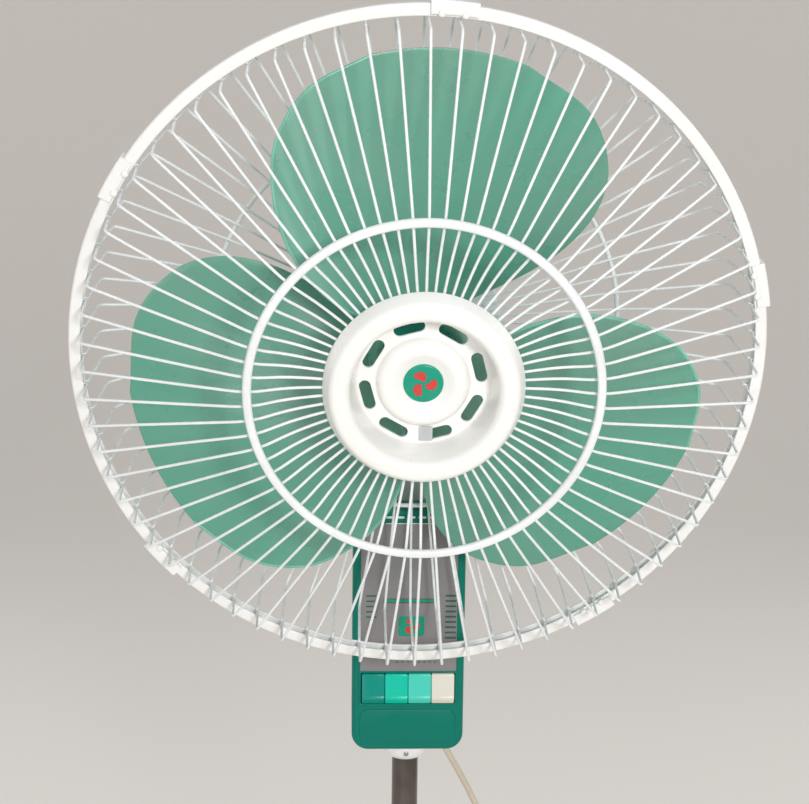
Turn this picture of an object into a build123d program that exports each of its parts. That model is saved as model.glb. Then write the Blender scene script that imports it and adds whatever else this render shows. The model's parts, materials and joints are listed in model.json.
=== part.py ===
from build123d import *
import os
from math import atan2, cos, degrees, pi, radians, sin, tan

# Pedestal fan, 400 mm sweep. Millimetres, +Z up, the floor at Z = 0, the pole's axis on Z.
# The fan blows towards -Y. Z_TILT is the hinge that nods the head; the head's own parts are
# laid out in a level frame with its origin there, and then tipped TILT degrees forward.

# ---- driving dimensions ----
TILT = 12.0                # how far the head nods forward as it stands
Z_TILT = 987.0             # height of the tilt hinge
MOTOR_RISE = 95.0          # motor axis above the tilt hinge
RIM_FORWARD = 135.0        # guard's rim plane ahead of the swivel axis

RIM_R = 233.0              # outer radius of the band that joins the two guards
RIM_DEPTH = 10.0
RIM_WIDTH = 8.0
WIRES = 72
WIRE_R = 1.15
WELD_R = 228.4             # where the wires end on the guard's edge ring
CORNER_R = 221.0           # radius of the sharp bend in every wire
FRONT_CORNER = 31.0        # its distance ahead of the rim plane
REAR_CORNER = -48.0
INNER_RING_R = 111.0       # the raised ring on the face of the front guard
INNER_RING_S = 67.0
DISC_R = 64.5              # round plate at the middle of the front guard
DISC_BACK = 57.8
SLOT_R = 37.0              # circle of the slots in its floor
CLIP_ANGLES = (13.5, 86.0, 148.5, 220.0, 304.0)     # where the snap clips sit, from the right-hand side
CLIP_ARC = 7.4

BLADE_R = 203.0
BLADES = 3
BLADE_HALF_ANGLE = 48.0
BLADE_MIDDLE = -15.0       # blade's mid plane, behind the rim plane
BLADE_PITCH = 31.0         # millimetres of advance in one radian
BLADE_CUP = 6.0
BLADE_THICK = 2.4
FIRST_BLADE = 86.5
HUB_R = 36.0
SHAFT_R = 4.0

MOTOR_R = 47.0
COVER_R = 58.0
SHELL = 2.5
CASTING = 3.0

BOX_W = 87.0
BOX_TOP = 918.0
BOX_BOTTOM = 724.0
BOX_FRONT = -38.0
BOX_BACK = 30.0
BOX_CORNER = 13.0
PANEL_W = 74.5
PANEL_TOP = 906.0
KEY_W = 18.0               # pitch of the four keys
KEY_TOP = 787.0
KEY_BOTTOM = 763.0

POLE_R = 10.5              # inner, sliding tube
OUTER_POLE_R = 13.5
OUTER_POLE_TOP = 520.0
POLE_FOOT = 250.0
COLUMN_R = 14.0            # cast neck that sits on the pole
BASE_R = 200.0

SWIVEL_PIN_R = 6.0
RUNNING = 0.05             # radial clearance of shafts that turn
CRANK = (0.0, 38.0)        # crank axis in the head's frame
SPINDLE = (13.5, 44.0)     # worm wheel and pinion axis
CRANK_R = 11.5
CRANK_ANGLE = 28.8
LINK_PIN = (14.0, 14.0)
LINK_LENGTH = 29.8

EXIT_LEAN = 30.0           # the cord leaves the box this far off vertical
EXIT_TURN = 17.0           # and this much towards the back
CORD_R = 2.5
CORD_SHARE = 0.45          # share of the shorter run that a corner's arc may use
COIL = (170.0, 332.0)      # centre of the coil on the floor
COIL_R = 27.5
COIL_HALF_W = 5.6
COIL_TOP = 10.4

HEAD = Pos(0, 0, Z_TILT) * Rot(TILT, 0, 0)
IN_HEAD = Pos(0, -RIM_FORWARD, MOTOR_RISE) * Rot(90, 0, 0)
FAN = HEAD * IN_HEAD       # Z runs forward along the motor's axis, 0 at the rim plane
LOW = (Align.CENTER, Align.CENTER, Align.MIN)

parts = {}


def keep(name, *solids):
    """Files one named piece; several solids under one name are like pieces."""
    found = []
    for shape in solids:
        found.extend(shape.solids())
    parts[name] = Compound(children=found) if len(found) > 1 else found[0]


def turned(*profile):
    """A solid of revolution about Z, from the (radius, height) corners of half its section."""
    edge = Polyline(*[(r, 0, z) for r, z in profile], close=True)
    return revolve(make_face(edge), Axis.Z)


def disc(radius, low, high, at=(0, 0)):
    return Pos(at[0], at[1], low) * Cylinder(radius, high - low, align=LOW)


def ring(outer, inner, low, high, at=(0, 0)):
    return disc(outer, low, high, at) - disc(inner, low - 1, high + 1, at)


def block(x, y, z):
    """A box from three (low, high) pairs."""
    middle = [(a + b) / 2 for a, b in (x, y, z)]
    return Pos(*middle) * Box(x[1] - x[0], y[1] - y[0], z[1] - z[0])


def bar_x(radius, x, at=(0, 0)):
    """A round bar along X, from x[0] to x[1], at the given (y, z)."""
    return Pos(x[0], at[0], at[1]) * Rot(0, 90, 0) * Cylinder(radius, x[1] - x[0], align=LOW)


def bar_y(radius, y, at=(0, 0)):
    """A round bar along Y, from y[0] to y[1], at the given (x, z)."""
    return Pos(at[0], y[0], at[1]) * Rot(-90, 0, 0) * Cylinder(radius, y[1] - y[0], align=LOW)


def around(shape, count, start=0.0):
    """Copies of a shape, evenly spaced round Z."""
    return [Rot(0, 0, start + i * 360 / count) * shape for i in range(count)]


def hoop(radius, thickness, height):
    return Pos(0, 0, height) * Torus(radius, thickness)


# ---- base ----

def base_shell():
    """Moulded dome with a rolled edge and a short central collar."""
    outer = turned((0, 3.2), (BASE_R, 3.2), (BASE_R, 12), (190, 19), (110, 31), (34, 42), (30, 62), (0, 62))
    inner = turned(
        (0, 0), (BASE_R - 3, 0), (BASE_R - 3, 11), (188.5, 16), (109.5, 28), (31, 39.2), (27, 59), (0, 59),
    )
    shell = outer - inner
    return shell - disc(19.3, 50, 70)


keep("base_shell", base_shell())
keep("base_weight", ring(172, 6, 4.5, 10.5))
keep("foot_ring", turned((186, 0), (199, 0), (199, 3), (196.5, 3), (196.5, 6), (189, 6), (186, 3)))
keep("base_socket", ring(26, 4.4, 10.7, 15) + ring(19, OUTER_POLE_R + 0.1, 14, 74) + ring(18, 4.4, 14, 22))
keep("base_bolt", disc(8, 1.2, 4.3) + disc(4.2, 4, 34) + ring(11, 4.2, 22.2, 26))
keep("outer_tube", ring(OUTER_POLE_R, OUTER_POLE_R - 1.2, 26.3, OUTER_POLE_TOP))
sleeve = ring(12.2, POLE_R + RUNNING, 460, 521)
keep("tube_bush", sleeve + ring(13.4, POLE_R + RUNNING, 520.1, 526))


def lock_ring():
    """Ribbed plastic ring that squeezes the bush on to the sliding tube."""
    body = turned(
        (OUTER_POLE_R + RUNNING, 500), (19.5, 500), (20.5, 504), (20.5, 532), (16, 543), (11.2, 543),
        (11.2, 534), (13.7, 527), (OUTER_POLE_R + RUNNING, 527),
    )
    for flute in around(Pos(21.4, 0, 504) * Cylinder(1.8, 26, align=LOW), 16):
        body -= flute
    return body


keep("height_lock_ring", lock_ring())

# ---- mast: sliding tube, control box and cast neck ----

keep("inner_tube", ring(POLE_R, POLE_R - 1.0, POLE_FOOT, 930))
collar = turned(
    (POLE_R + 0.1, 705.5), (12.5, 705.5), (14.6, 708), (16.2, 712), (17.1, 717), (17.35, BOX_BOTTOM - 0.1),
    (POLE_R + 0.1, BOX_BOTTOM - 0.1),
)
keep("box_collar", collar - bar_y(2.1, (-20, -9), (0, 713)))


def slab(width, height, corner, start, end, middle):
    """A plate with rounded corners, standing upright, from depth start back or forward to end."""
    outline = RectangleRounded(width, height, corner)
    return Pos(0, start, middle) * Rot(90, 0, 0) * extrude(outline, start - end)


BOX_MIDDLE = (BOX_TOP + BOX_BOTTOM) / 2
BOX_H = BOX_TOP - BOX_BOTTOM
EXIT_AT = Pos(30.0, -6.0, 716.0) * Rot(0, 0, EXIT_TURN) * Rot(0, 180 - EXIT_LEAN, 0)
SCREWS = [(x, z) for x in (-34, 34) for z in (741, 896)]


def hollow_half(start, end, edge):
    """One half of the control box, with its outer edge rounded."""
    outer = slab(BOX_W, BOX_H, BOX_CORNER, start, end, BOX_MIDDLE)
    face = outer.faces().sort_by(Axis.Y)[0 if end < start else -1]
    outer = fillet(face.edges(), edge)
    step = SHELL if end > start else -SHELL
    width = BOX_W - 2 * SHELL
    inner = slab(width, BOX_H - 2 * SHELL, BOX_CORNER - SHELL, start, end - step, BOX_MIDDLE)
    half = outer - inner
    half -= disc(COLUMN_R + 0.15, BOX_TOP - 10, BOX_TOP + 10)
    half -= disc(POLE_R + 0.1, BOX_BOTTOM - 10, BOX_BOTTOM + 10)
    return half - EXIT_AT * Pos(0, 0, -40) * Cylinder(4.7, 60, align=LOW)


def box_front():
    shell = hollow_half(0.0, BOX_FRONT, 4.0)
    window = (KEY_BOTTOM - 0.4, KEY_TOP + 0.4)
    shell -= block((-2 * KEY_W - 0.4, 2 * KEY_W + 0.4), (BOX_FRONT - 2, BOX_FRONT + 4), window)
    recess_half = PANEL_W / 2 + 0.2
    recess_height = (KEY_TOP + 1.8, PANEL_TOP + 0.2)
    shell -= block((-recess_half, recess_half), (BOX_FRONT - 1, BOX_FRONT + 0.9), recess_height)
    for x, z in SCREWS:
        shell += bar_y(4.0, (BOX_FRONT + 1.5, -0.1), (x, z))
        shell -= bar_y(1.5, (-24, 1), (x, z))
    return shell


def box_rear():
    shell = hollow_half(0.05, BOX_BACK, 7.0)
    for x, z in SCREWS:
        shell += bar_y(4.0, (0.05, BOX_BACK - 1), (x, z))
        shell -= bar_y(1.9, (-1, BOX_BACK + 1), (x, z))
        shell -= bar_y(3.4, (BOX_BACK - 3.5, BOX_BACK + 4), (x, z))
    return shell


def box_screw(x, z):
    return bar_y(1.5, (-22, BOX_BACK - 3.4), (x, z)) + bar_y(3.1, (BOX_BACK - 3.4, BOX_BACK - 1.2), (x, z))


keep("box_front", box_front())
keep("box_rear", box_rear())
keep("mast_screws", *[box_screw(x, z) for x, z in SCREWS], bar_y(2.0, (-17.6, -10.6), (0, 713)))
panel_height = (KEY_TOP + 2, PANEL_TOP)
keep("display_panel", block((-PANEL_W / 2, PANEL_W / 2), (BOX_FRONT - 0.5, BOX_FRONT + 0.8), panel_height))

SWITCH_FRONT = -27.0
switch = block((-36, 36), (SWITCH_FRONT, -12), (766, 786))
for slot_number in range(4):
    stem_x = (slot_number - 1.5) * KEY_W
    switch -= bar_y(2.9, (SWITCH_FRONT - 1, -14), (stem_x, 776))
keep("switch_body", switch)


def key(number):
    """One push key: a cap that is thicker at its lower lip, on a round stem."""
    middle = (number - 1.5) * KEY_W
    half = KEY_W / 2 - 0.2
    side = Polyline(
        (BOX_FRONT + 6.5, KEY_TOP), (BOX_FRONT - 1.2, KEY_TOP), (BOX_FRONT - 4.2, KEY_BOTTOM + 5),
        (BOX_FRONT - 2.6, KEY_BOTTOM), (BOX_FRONT + 6.5, KEY_BOTTOM), close=True,
    )
    cap = Pos(middle - half, 0, 0) * extrude(Plane.YZ * make_face(side), 2 * half)
    return cap + bar_y(2.5, (BOX_FRONT + 6, -18), (middle, 776))


for number, name in enumerate(("key_off", "key_low", "key_medium", "key_high")):
    keep(name, key(number))

keep("run_capacitor", block((-28, 10), (-33, -13), (734, 756)))
relief_taper = turned(
    (0, -9), (5.6, -9), (5.6, -6), (4.6, -6), (4.6, 0), (3.7, 2), (2.7, 17.95), (0, 17.95),
)
EXIT_RELIEF = EXIT_AT * Pos(0, 0, -18)
keep("strain_relief", EXIT_RELIEF * relief_taper)


def neck_fork():
    """Cast neck: a sleeve over the pole's top, a column, and two cheeks for the tilt bolt."""
    hinge = Z_TILT
    body = disc(COLUMN_R, 896, hinge - 16)
    body += block((-15, 15), (-COLUMN_R, COLUMN_R), (hinge - 24, hinge - 16))
    for x in ((-15, -9), (9, 15)):
        body += bar_x(15, x, (0, hinge))
        body += block(x, (-COLUMN_R, COLUMN_R), (hinge - 17, hinge))
    body -= disc(POLE_R + 0.02, 890, 930)
    return body - bar_x(4.02, (-20, 20), (0, hinge))


keep("neck_fork", neck_fork())
hex_head = Pos(-20, 0, Z_TILT) * Rot(0, 90, 0) * extrude(RegularPolygon(7.0, 6), 4.9)
keep("tilt_bolt", bar_x(4.0, (-16, 33), (0, Z_TILT)) + hex_head)
knob = bar_x(8, (15.3, 22), (0, Z_TILT)) + bar_x(15, (22, 36), (0, Z_TILT))
knob -= bar_x(4.0 + RUNNING, (10, 33.2), (0, Z_TILT))
for i in range(8):
    turn = radians(i * 45)
    knob -= bar_x(3.2, (20, 40), (16.5 * cos(turn), Z_TILT + 16.5 * sin(turn)))
keep("tilt_knob", knob)

# ---- neck: nods on the tilt bolt and carries the swivel ----

neck = bar_x(14, (-8.7, 8.7)) + block((-8.7, 8.7), (-10, 10), (0, 18))
neck += disc(16, 16.2, 30) + disc(12, 29, 39.6)
ear_turn = degrees(atan2(LINK_PIN[1], LINK_PIN[0]))
neck += Rot(0, 0, ear_turn) * block((8, 19.8), (-5, 5), (24, 31)) + disc(5, 24, 31, LINK_PIN)
neck += disc(2.5, 30, 39.5, LINK_PIN)
neck -= bar_x(4.0 + RUNNING, (-12, 12))
neck -= disc(8.0, 15, 45)
keep("neck", HEAD * neck)
keep("swivel_bush", HEAD * ring(8.0, SWIVEL_PIN_R + RUNNING, 15, 39.4))

# ---- head: motor, gear case and covers ----

BOLT_CIRCLE = 41.5


def shaft_bores(radius, low, high):
    """The four long bolts' round shapes, as holes, bosses or screws."""
    return [Rot(0, 0, 45 + 90 * i) * Pos(BOLT_CIRCLE, 0, 0) * disc(radius, low, high) for i in range(4)]


def front_shield():
    body = turned(
        (8.2, -56), (20, -56), (20, -77.7), (MOTOR_R, -77.7), (MOTOR_R, -99), (MOTOR_R - CASTING, -99),
        (MOTOR_R - CASTING, -81.7), (8.2, -81.7),
    )
    for boss in shaft_bores(4.5, -99, -81):
        body += boss
    for hole in shaft_bores(2.1, -100, -76):
        body -= hole
    return body


def gear_case():
    """Rear half of the motor, the oil-filled box behind it and the boss that swivels on the neck."""
    bowl = turned(
        (8.2, -148), (12, -148), (12, -155), (MOTOR_R - CASTING, -155), (MOTOR_R - CASTING, -123),
        (MOTOR_R, -123), (MOTOR_R, -159), (8.2, -159),
    )
    for boss in shaft_bores(4.5, -155.5, -123):
        bowl += boss
    for hole in shaft_bores(1.8, -150, -120):
        bowl -= hole
    body = IN_HEAD * bowl
    body += block((-20, 26), (23, 60), (58, 112))
    body += disc(14, 40, 48.5) + block((-14, 14), (6, 23.5), (46, 49.5))
    body -= block((-17, 23), (25, 57), (61, 113))
    body -= disc(SWIVEL_PIN_R, 38, 47)
    body -= disc(3.0 + RUNNING, 50, 62, CRANK)
    body -= disc(2.5 + RUNNING, 59.4, 62, SPINDLE)
    body -= bar_y(1.6, (56, 62), (0, MOTOR_RISE))
    return body - bar_y(8.2, (15, 26), (0, MOTOR_RISE))


def stator_core():
    core = ring(46, 24.3, -123, -99)
    for slot in around(block((24, 37), (-3.2, 3.2), (-130, -90)), 8):
        core -= slot
    for hole in shaft_bores(2.1, -130, -90):
        core -= hole
    return core


def stator_winding():
    coil = ring(36.5, 26, -98.9, -87) + ring(36.5, 26, -135, -123.1)
    for bar in around(block((27.5, 36), (-2.9, 2.9), (-124, -98)), 8):
        coil += bar
    return coil


def cover_rear():
    """Deep bullet-shaped cover with a vented end, open below for the swivel and its link."""
    front, back = -100.3, -227.0
    outer = fillet(disc(COVER_R, back, front).faces().sort_by(Axis.Z)[0].edges(), 30)
    hollow = disc(COVER_R - SHELL, back + SHELL, front + 1)
    body = outer - fillet(hollow.faces().sort_by(Axis.Z)[0].edges(), 30 - SHELL)
    for slot in around(block((11, 26), (-1.5, 1.5), (back - 1, back + 5)), 16):
        body -= slot
    for slot in around(block((50, 60), (-1.75, 1.75), (-176, -136)), 28, 360 / 56):
        body -= slot
    body = IN_HEAD * body
    body -= block((-32, 32), (-24, 60), (20, 56))
    body -= disc(4.0, 130, 170, SPINDLE)
    return body - bar_y(2.2, (80, 100), (0, MOTOR_RISE))


def cover_front():
    plate = disc(COVER_R, -100, -75.05)
    plate = fillet(plate.faces().sort_by(Axis.Z)[-1].edges(), 5)
    plate -= disc(COVER_R - SHELL, -101, -77.6)
    return plate - disc(20.4, -80, -70)


keep("front_shield", FAN * front_shield())
keep("gear_case", HEAD * gear_case())
keep("swivel_pin", HEAD * disc(SWIVEL_PIN_R, 15.4, 47))
lid = block((-20, 26), (24.2, 60), (112.05, 115)) - disc(2.5 + RUNNING, 100, 120, SPINDLE)
keep("gear_case_cover", HEAD * lid)
bush_profile = ((SHAFT_R + RUNNING, -75), (8.2, -75), (8.2, -57), (SHAFT_R + RUNNING, -57))
rear_bush = ((SHAFT_R + RUNNING, -158.9), (8.2, -158.9), (8.2, -148), (SHAFT_R + RUNNING, -148))
keep("motor_bushes", FAN * turned(*bush_profile), FAN * turned(*rear_bush))
keep("stator_core", FAN * stator_core())
keep("stator_winding", FAN * stator_winding())
keep("motor_cover_front", FAN * cover_front())
keep("motor_cover_rear", HEAD * cover_rear())
long_bolts = [FAN * bolt for bolt in shaft_bores(1.8, -149, -77.75)]
cover_screw = bar_y(1.6, (57.5, 92.2), (0, MOTOR_RISE)) + bar_y(4, (92.2, 94.6), (0, MOTOR_RISE))
keep("head_screws", *long_bolts, HEAD * cover_screw)

# ---- oscillating gear and clutch ----


def toothed(radius, low, high, teeth):
    """A gear blank with round tooth gaps."""
    gear = disc(radius, low, high)
    gap = Pos(radius + 0.35, 0, low - 1) * Cylinder(0.8, high - low + 2, align=LOW)
    for notch in around(gap, teeth):
        gear -= notch
    return gear


def at_axis(place, shape):
    return HEAD * Pos(place[0], place[1], 0) * shape


keep("worm_wheel", at_axis(SPINDLE, toothed(8.5, 91, 99, 24) - disc(2.5 + RUNNING, 90, 100)))
keep("drive_spindle", at_axis(SPINDLE, disc(2.5, 59.6, 104) + toothed(4.0, 66, 74, 10)))
knob_body = turned((0, 153), (7.5, 153), (8.5, 155), (7.4, 160), (7.4, 164), (9.2, 170), (7.5, 173), (0, 173))
keep("clutch_knob", at_axis(SPINDLE, knob_body + disc(2.4, 104.4, 154)))
crank = disc(3.0, 45, 67) + toothed(10.5, 66, 74, 26) + disc(14.8, 41.5, 45.5)
crank += Rot(0, 0, CRANK_ANGLE) * Pos(CRANK_R, 0, 37.5) * Cylinder(2.5, 4.2, align=LOW)
keep("crank_gear", at_axis(CRANK, crank))
crank_pin = (CRANK[0] + CRANK_R * cos(radians(CRANK_ANGLE)), CRANK[1] + CRANK_R * sin(radians(CRANK_ANGLE)))
link_turn = degrees(atan2(crank_pin[1] - LINK_PIN[1], crank_pin[0] - LINK_PIN[0]))
link = disc(5, 34, 37) + disc(5, 34, 37, (LINK_LENGTH, 0)) + block((0, LINK_LENGTH), (-3.2, 3.2), (34, 37))
link -= disc(2.5 + RUNNING, 30, 40)
link -= disc(2.8, 30, 40, (LINK_LENGTH, 0))
keep("link_arm", at_axis(LINK_PIN, Rot(0, 0, link_turn) * link))

# ---- rotor: shaft, rotor core, blades ----

shaft = disc(SHAFT_R, -190, 13)
for i in range(6):
    front = -172.5 - 2.4 * i
    shaft += turned((3.9, front), (4.7, front - 0.4), (4.7, front - 1.2), (3.9, front - 1.6))
shaft -= Pos(0, 0, -44) * Rot(0, 90, 0) * Cylinder(1.5, 20)
keep("motor_shaft", FAN * shaft)
keep("drive_pin", FAN * Pos(0, 0, -44) * Rot(0, 90, 0) * Cylinder(1.5, 22))
keep("rotor_core", FAN * ring(23.8, SHAFT_R, -123, -99))


def blade_surface(radius, turn):
    """Height of the blade's middle surface: a helicoid, cupped a little across its width."""
    share = turn / BLADE_HALF_ANGLE
    cup = BLADE_CUP * (radius / BLADE_R) * (1 - share * share)
    return BLADE_MIDDLE + BLADE_PITCH * radians(turn) - cup + BLADE_CUP / 2


def polar(radius, turn, height=0.0):
    return Vector(radius * cos(radians(turn)), radius * sin(radians(turn)), height)


def one_blade():
    turns = [-60 + 10 * i for i in range(13)]
    radii = [20 + 24 * i for i in range(9)]
    grid = [[polar(r, t, blade_surface(r, t)) for r in radii] for t in turns]
    skin = Face.make_surface_from_array_of_points(grid)
    plate = thicken(skin, BLADE_THICK / 2, both=True)
    leading = [(33, -40), (60, -51), (90, -54), (120, -53), (150, -49), (175, -42), (194, -31)]
    trailing = [(193, 26), (175, 36), (150, 43.5), (120, 50.5), (90, 55), (60, 55), (33, 36)]
    tip = [(BLADE_R - 1, -16), (BLADE_R, 0), (BLADE_R - 1, 13)]
    outline = [polar(r, t) for r, t in leading + tip + trailing]
    edge = Spline(*outline)
    planform = make_face([edge, Line(outline[-1], outline[0])])
    cutter = Pos(0, 0, -70) * extrude(planform, 120)
    return plate & cutter


def fan_blade():
    """Three broad blades moulded in one piece with a cup-shaped hub."""
    hub = turned((0, -42), (HUB_R - 2, -42), (HUB_R, -38), (HUB_R - 1, -8), (30, 0), (0, 0))
    for blade in around(one_blade(), BLADES, FIRST_BLADE):
        hub += blade
    hub -= turned((10, -60), (HUB_R - 3.5, -60), (HUB_R - 3.5, -8), (28, -3.5), (10, -3.5))
    hub -= disc(SHAFT_R + 0.03, -60, 10)
    hub -= Pos(0, 0, -44) * Box(23, 3.1, 5)
    return hub


def blade_nut():
    nut = turned((0, 0.1), (26, 0.1), (26, 7), (19, 13), (11, 19), (0, 20.5))
    nut -= disc(SHAFT_R + 0.02, -1, 13.2)
    for flute in around(Pos(26.8, 0, -1) * Cylinder(1.7, 20, align=LOW), 24):
        nut -= flute
    return nut


keep("fan_blade", FAN * fan_blade())
keep("blade_nut", FAN * blade_nut())

# ---- guards ----


def guard_wire(corners, radii):
    """One bent wire in the XZ plane, as two solids that meet in the middle of the sharp bend."""
    points = [Vector(r, 0, s) for r, s in corners]
    path = FilletPolyline(*points, radius=radii)
    start = Plane(origin=path @ 0, z_dir=path % 0)
    wire = sweep(start * Circle(WIRE_R), path)
    bend = points[2]
    normal = (bend - points[1]).normalized() + (points[3] - bend).normalized()
    return split(wire, bisect_by=Plane(origin=bend, z_dir=normal), keep=Keep.BOTH).solids()


def wire_set(corners, radii):
    wires = []
    for solid in guard_wire(corners, radii):
        wires.extend(around(solid, WIRES))
    return wires


FRONT_WIRE = [
    (WELD_R, 1.5), (223, 1.5), (CORNER_R, FRONT_CORNER), (INNER_RING_R, INNER_RING_S),
    (89, 58.5), (70, 56.5), (50, 56.5),
]
REAR_WIRE = [(WELD_R, -1.5), (223, -1.5), (CORNER_R, REAR_CORNER), (145, -67), (62, -72.2), (50, -72.2)]
keep("front_guard_wires", *[FAN * w for w in wire_set(FRONT_WIRE, [2, 3, 8, 12, 20])])
keep("rear_guard_wires", *[FAN * w for w in wire_set(REAR_WIRE, [2, 4, 15, 15])])

band = turned((108.6, 68.1), (113.8, 67.6), (114.2, 69), (113.4, 71.4), (109.4, 71.9), (108.4, 70.6))
keep("front_guard_rings", FAN * hoop(229.4, 1.5, 1.5), FAN * band, FAN * hoop(54, 1.5, 53.9))
plate = ring(60, 20.7, -75, -73.4)
for hole in around(Pos(40, 0, 0) * disc(4, -80, -70), 4, 45):
    plate -= hole
keep("rear_guard_rings", FAN * hoop(229.4, 1.5, -1.5), FAN * hoop(145, 1.6, -69.6), FAN * plate)

half_depth = RIM_DEPTH / 2
channel = turned(
    (RIM_R - RIM_WIDTH, -half_depth), (RIM_R - 1, -half_depth), (RIM_R, -half_depth + 1.5),
    (RIM_R, half_depth - 1.5), (RIM_R - 1, half_depth), (RIM_R - RIM_WIDTH, half_depth),
    (RIM_R - RIM_WIDTH, 3.2), (RIM_R - 1.8, 3.2), (RIM_R - 1.8, -3.2), (RIM_R - RIM_WIDTH, -3.2),
)
keep("guard_ring", FAN * channel)


def clip():
    """A snap clip that straddles the band, with two small studs on its inner front edge."""
    section = [
        (226.3, -7), (234.4, -7), (235.2, -6), (235.2, 6), (234.4, 7), (226.3, 7),
        (226.3, half_depth + 0.05), (RIM_R + 0.05, half_depth + 0.05),
        (RIM_R + 0.05, -half_depth - 0.05), (226.3, -half_depth - 0.05),
    ]
    edge = Polyline(*[(r, 0, s) for r, s in section], close=True)
    body = revolve(make_face(edge), Axis.Z, CLIP_ARC)
    for share in (0.27, 0.77):
        body += Rot(0, 0, CLIP_ARC * share) * Pos(227.0, 0, half_depth + 0.1) * Cylinder(2.5, 3.2, align=LOW)
    return Rot(0, 0, -CLIP_ARC / 2) * body


keep("guard_clips", *[FAN * Rot(0, 0, angle) * clip() for angle in CLIP_ANGLES])

nut = turned((20.1, -73.3), (34, -73.3), (34, -70), (28, -66), (25, -58), (20.1, -58))
for notch in around(Pos(33, 0, -80) * Cylinder(3.5, 12, align=LOW), 12):
    nut -= notch
keep("guard_nut", FAN * nut)


def hub_disc():
    """Round plate: a raised outer band, a deep well with eight slots in its floor, and a dished boss."""
    front = [
        (0, 47.9), (14, 47.9), (18.5, 50.6), (20.5, 51.6), (24.5, 51.8), (27.5, 50.6), (29.6, 48),
        (30.4, 45.2), (44.4, 45.2), (45.6, 50), (46.6, 60), (47.6, 68.6), (49, 70.2), (54, 70.6),
        (58.4, 69.9), (60.4, 68), (DISC_R - 0.9, 61), (DISC_R, 58.6), (DISC_R - 0.2, DISC_BACK),
    ]
    back = [
        (DISC_R - 2.8, DISC_BACK), (61.2, 59.5), (58.6, 66.4), (57.2, 67.8), (50.6, 68.4), (49.6, 66.8),
        (48.6, 60), (47.5, 50), (46.4, 43.2), (28.6, 43.2), (27.8, 46.8), (25.6, 49), (23.8, 49.8),
        (21, 49.6), (18.8, 48.2), (14.6, 45.9), (0, 45.9),
    ]
    plate = turned(*front, *back)
    slot = Pos(0, 0, 40) * extrude(Pos(SLOT_R, 0) * Rot(0, 0, 90) * SlotOverall(20.5, 7.7), 8)
    for opening in around(slot, 8, 15):
        plate -= opening
    return plate


keep("hub_disc", FAN * hub_disc())
keep("hub_emblem", FAN * turned((0, 47.95), (12.9, 47.95), (12.9, 48.9), (12.2, 49.7), (0, 49.7)))
keep("hub_tab", FAN * block((-1.8, 6.8), (-41, -31), (45.25, 47)))

# ---- mains cord, its coil and plug ----

RELIEF_END = EXIT_AT.position
CORD_ROUTE = [
    (RELIEF_END.X, RELIEF_END.Y, RELIEF_END.Z), (56.3, 2, 668.4), (77, 9, 611), (91, 17, 550), (102, 26, 488),
    (111, 36, 425), (121, 48, 362), (132, 61, 300), (145, 77, 240), (160, 98, 183), (177, 125, 131),
    (195, 159, 86), (211, 200, 48), (221, 246, 19), (224, 294, CORD_R + 0.1), (213, 336, CORD_R + 0.1),
    (186, 361, CORD_R + 0.1), (160, 361, CORD_R + 0.1),
]


def corner_radii(route):
    """The largest tangent arc that each corner's two runs allow."""
    radii = []
    for before, at, after in zip(route, route[1:], route[2:]):
        run_in = Vector(*at) - Vector(*before)
        run_out = Vector(*after) - Vector(*at)
        turn = run_in.get_angle(run_out)
        shorter = min(run_in.length, run_out.length)
        radii.append(CORD_SHARE * shorter / tan(radians(turn / 2)))
    return radii


def cord_tube(route):
    radii = corner_radii(route)
    path = FilletPolyline(*[Vector(*p) for p in route], radius=radii)
    start = Plane(origin=path @ 0, z_dir=path % 0)
    tube = sweep(start * Circle(CORD_R), path)
    expected = pi * CORD_R ** 2 * path.length
    print("cord radii", [round(r) for r in radii])
    print("cord length", round(path.length, 1), "volume share", round(tube.volume / expected, 4))
    return tube


keep("mains_cord", cord_tube(CORD_ROUTE))
coil = ring(COIL_R + COIL_HALF_W, COIL_R - COIL_HALF_W, 0, COIL_TOP, COIL)
keep("cord_coil", coil)


def mains_plug():
    """Three-pin plug with a tapered cord relief, lying on its side by the coil."""
    relief = turned((0, 0), (3.0, 0), (5.0, 26), (5.5, 30), (0, 30))
    body = Pos(0, 0, 29) * extrude(RectangleRounded(27, 20, 6), 34)
    body = fillet(body.edges().group_by(Axis.Z)[-1], 2)
    plug = relief + body
    for x, y, radius, length in ((-9.5, -3.5, 2.4, 16), (9.5, -3.5, 2.4, 16), (0, 5.5, 3.4, 20)):
        plug += Pos(x, y, 62.5) * Cylinder(radius, length, align=LOW)
    return plug


PLUG_START = (COIL[0] - COIL_R - 2.5, COIL[1] - 3.0, 10.0)
keep("mains_plug", Pos(*PLUG_START) * Rot(90, 0, 0) * mains_plug())

os.makedirs("parts", exist_ok=True)
for name, shape in parts.items():
    shape.label = name
    export_step(shape, f"parts/{name}.step")
print(len(parts), "nodes")
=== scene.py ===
import json
from math import atan2, cos, degrees, hypot, pi, radians, sin

import bmesh
import bpy
import numpy as np
from mathutils import Matrix, Vector


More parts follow.
